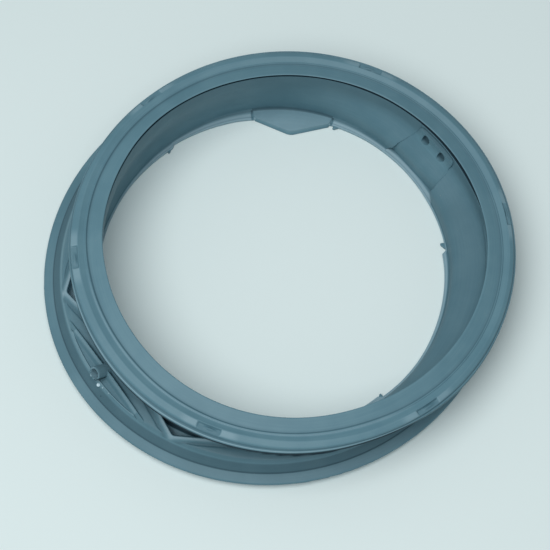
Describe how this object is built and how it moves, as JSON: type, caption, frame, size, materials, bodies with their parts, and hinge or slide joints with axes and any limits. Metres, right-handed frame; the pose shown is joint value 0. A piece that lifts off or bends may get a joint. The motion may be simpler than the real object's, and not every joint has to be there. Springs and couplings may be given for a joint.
{
  "type": "washing machine gasket",
  "caption": "moulded rubber door gasket with a bellows fold, a tub-side flange, a door-side lip and clamp groove, a pull tongue and a drain stub",
  "frame": {"origin": "middle of the bounding box's base, on the surface that the tub-side face rests on", "axes": "+Z from the tub side to the door side, +X the way the soft door-side ring leans, +Y towards the pull tongue"},
  "size_m": [0.3812, 0.372, 0.0721],
  "materials": {
    "grey_rubber": "matt moulded rubber with a faint bloom"
  },
  "bodies": {
    "root": {"gasket": "grey_rubber"}
  },
  "joints": []
}
